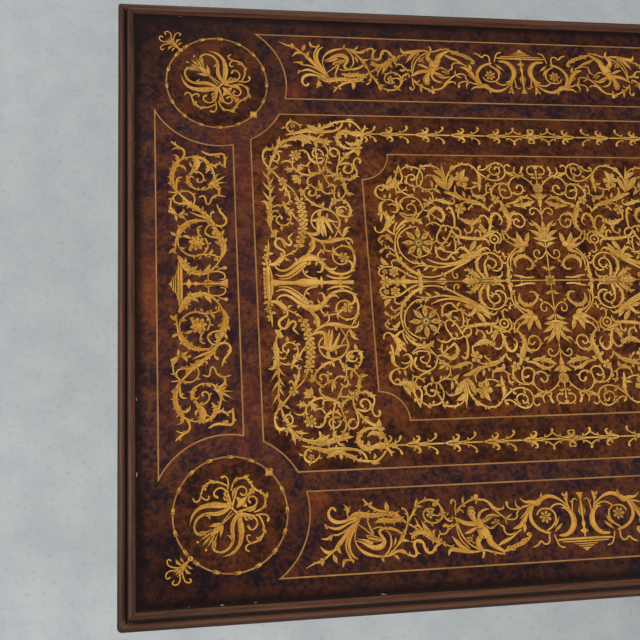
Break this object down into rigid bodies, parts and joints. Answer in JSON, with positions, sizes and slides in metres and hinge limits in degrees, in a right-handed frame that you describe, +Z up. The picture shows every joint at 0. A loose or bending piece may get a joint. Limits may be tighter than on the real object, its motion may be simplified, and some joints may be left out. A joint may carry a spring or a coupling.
{
  "type": "marquetry side table",
  "caption": "Rectangular side table with a burr veneered top inlaid with arabesque marquetry, a mitred moulded edge, turned legs, stretchers and a frieze drawer.",
  "frame": {"origin": "on the floor, under the middle of the table", "axes": "+X along the table's length, +Y from the drawer side to the back, +Z up"},
  "size_m": [0.9, 0.65, 0.7415],
  "materials": {
    "burr_veneer": "wax-polished burr walnut veneer",
    "boxwood": "polished boxwood inlay",
    "walnut": "wax-polished solid walnut",
    "walnut_frieze": "wax-polished walnut",
    "oak": "dry planed oak",
    "pine": "dry planed pine",
    "iron": "dull dark iron"
  },
  "bodies": {
    "frame": {"veneer_ground": "burr_veneer", "veneer_frame_panel": "burr_veneer", "veneer_centre_panel": "burr_veneer", "veneer_long_borders": "burr_veneer", "veneer_end_borders": "burr_veneer", "veneer_roundels": "burr_veneer", "string_frame_panel": "boxwood", "string_centre_panel": "boxwood", "strings_long_borders": "boxwood", "strings_end_borders": "boxwood", "roundel_rings": "boxwood", "moulding_front": "walnut", "moulding_right": "walnut", "moulding_back": "walnut", "moulding_left": "walnut", "leg_front_left": "walnut", "leg_front_right": "walnut", "leg_back_left": "walnut", "leg_back_right": "walnut", "foot_front_left": "walnut", "foot_front_right": "walnut", "foot_back_left": "walnut", "foot_back_right": "walnut", "left_stretcher": "walnut", "right_stretcher": "walnut", "cross_stretcher": "walnut", "back_rail": "walnut_frieze", "left_rail": "walnut_frieze", "right_rail": "walnut_frieze", "front_top_rail": "walnut_frieze", "front_bottom_rail": "walnut_frieze", "runner_left": "oak", "runner_right": "oak", "guide_left": "oak", "guide_right": "oak", "kicker_left": "oak", "kicker_right": "oak", "rail_pegs": "oak", "drawer_stops": "oak", "top_core": "pine", "glue_blocks": "pine", "top_screws": "iron"},
    "drawer": {"drawer_front": "walnut_frieze", "drawer_left_side": "oak", "drawer_right_side": "oak", "drawer_back": "oak", "drawer_bottom": "oak", "knob_left": "walnut", "knob_right": "walnut"}
  },
  "joints": [
    {"name": "drawer_slide", "type": "slide", "parent": "frame", "child": "drawer", "axis": [0, -1, 0], "range_m": [0, 0.36]}
  ]
}
